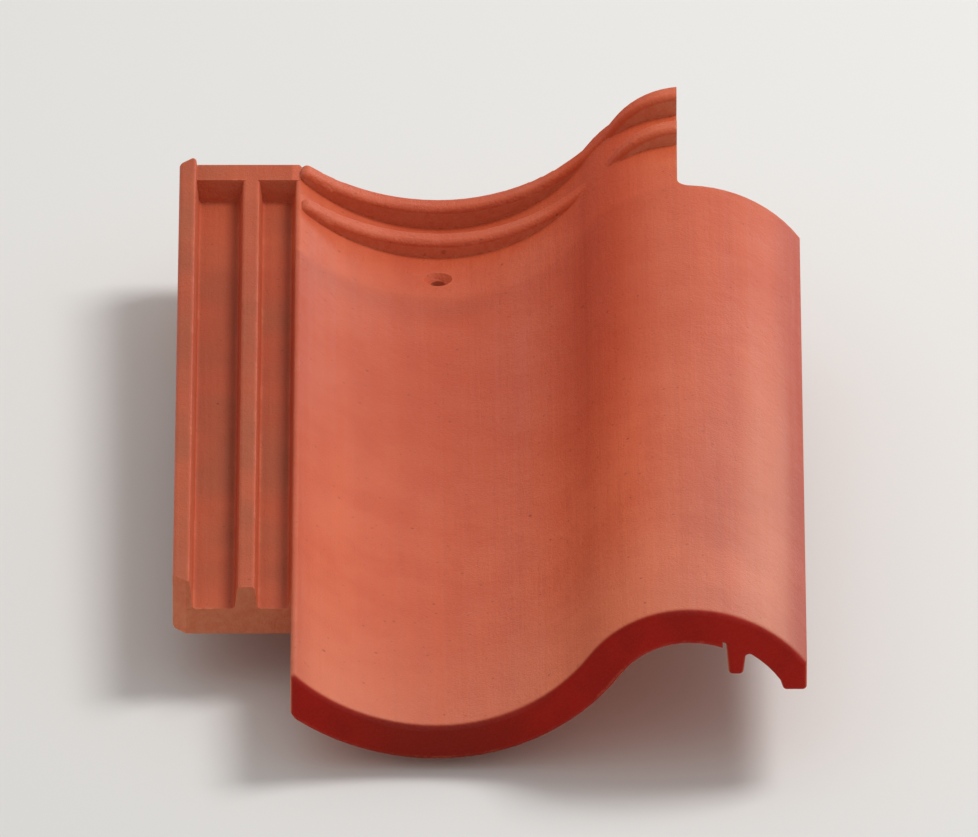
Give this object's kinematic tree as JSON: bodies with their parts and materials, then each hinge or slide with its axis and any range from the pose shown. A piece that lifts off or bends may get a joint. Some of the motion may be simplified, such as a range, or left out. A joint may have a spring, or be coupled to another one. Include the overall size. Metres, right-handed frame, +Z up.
{
  "type": "clay roof tile",
  "caption": "Interlocking clay pantile with a trough and a roll, side and head locks, batten nibs and a nail hole.",
  "frame": {"origin": "centre of the tile's bounding box in plan, on the floor that it lies on", "axes": "+Y up the slope from the foot edge to the head edge, +X across the tile from the underlock to the cover lip, +Z up, away from the roof; the tile lies with its head 1.6 degrees up, as its nibs hold it on a level floor"},
  "size_m": [0.2442, 0.4116, 0.0906],
  "materials": {
    "fired_clay": "unglazed fired clay, slightly satin"
  },
  "bodies": {
    "root": {"roof_tile": "fired_clay"}
  },
  "joints": []
}
